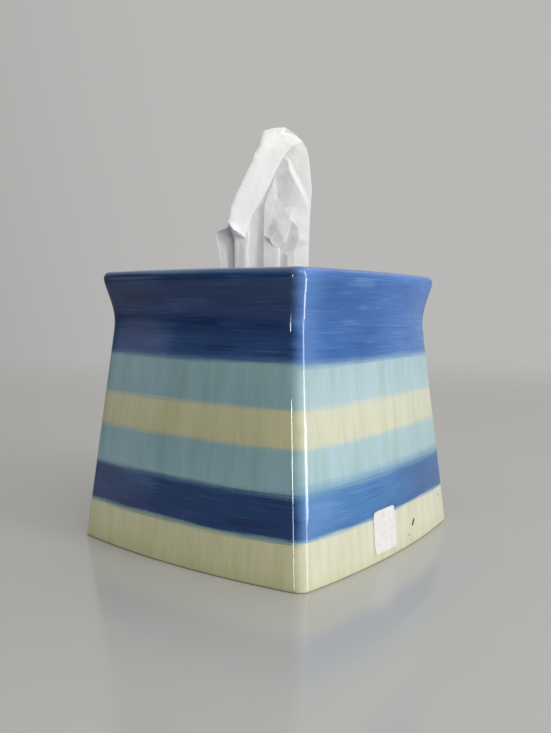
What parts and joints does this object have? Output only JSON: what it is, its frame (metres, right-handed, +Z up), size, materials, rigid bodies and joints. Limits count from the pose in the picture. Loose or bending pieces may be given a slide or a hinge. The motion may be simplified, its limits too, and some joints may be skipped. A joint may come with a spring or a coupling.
{
  "type": "tissue box cover",
  "caption": "Square glazed ceramic tissue box cover with bowed tapered sides, a flared rim and a round top hole, over a cube carton with a popped-up tissue.",
  "frame": {"origin": "centre of the base, on the surface that the cover and its carton stand on", "axes": "+Z up, +X out of the side with the label, +Y away from the front side"},
  "size_m": [0.161, 0.161, 0.224],
  "materials": {
    "cover_glaze": "gloss",
    "label_paper": "matte",
    "carton_board": "matte",
    "film": "gloss",
    "stack_tissue": "matte",
    "tissue_paper": "matte"
  },
  "bodies": {
    "carton": {"carton": "carton_board", "dispensing_film": "film", "tissue_stack": "stack_tissue"},
    "cover": {"cover": "cover_glaze", "price_label": "label_paper"},
    "tissue": {"tissue": "tissue_paper"}
  },
  "joints": [
    {"name": "cover_lift", "type": "slide", "parent": "carton", "child": "cover", "axis": [0, 0, 1], "range_m": [0, 0.235]},
    {"name": "tissue_pull", "type": "slide", "parent": "carton", "child": "tissue", "axis": [0, 0, 1], "range_m": [0, 0.13]}
  ]
}
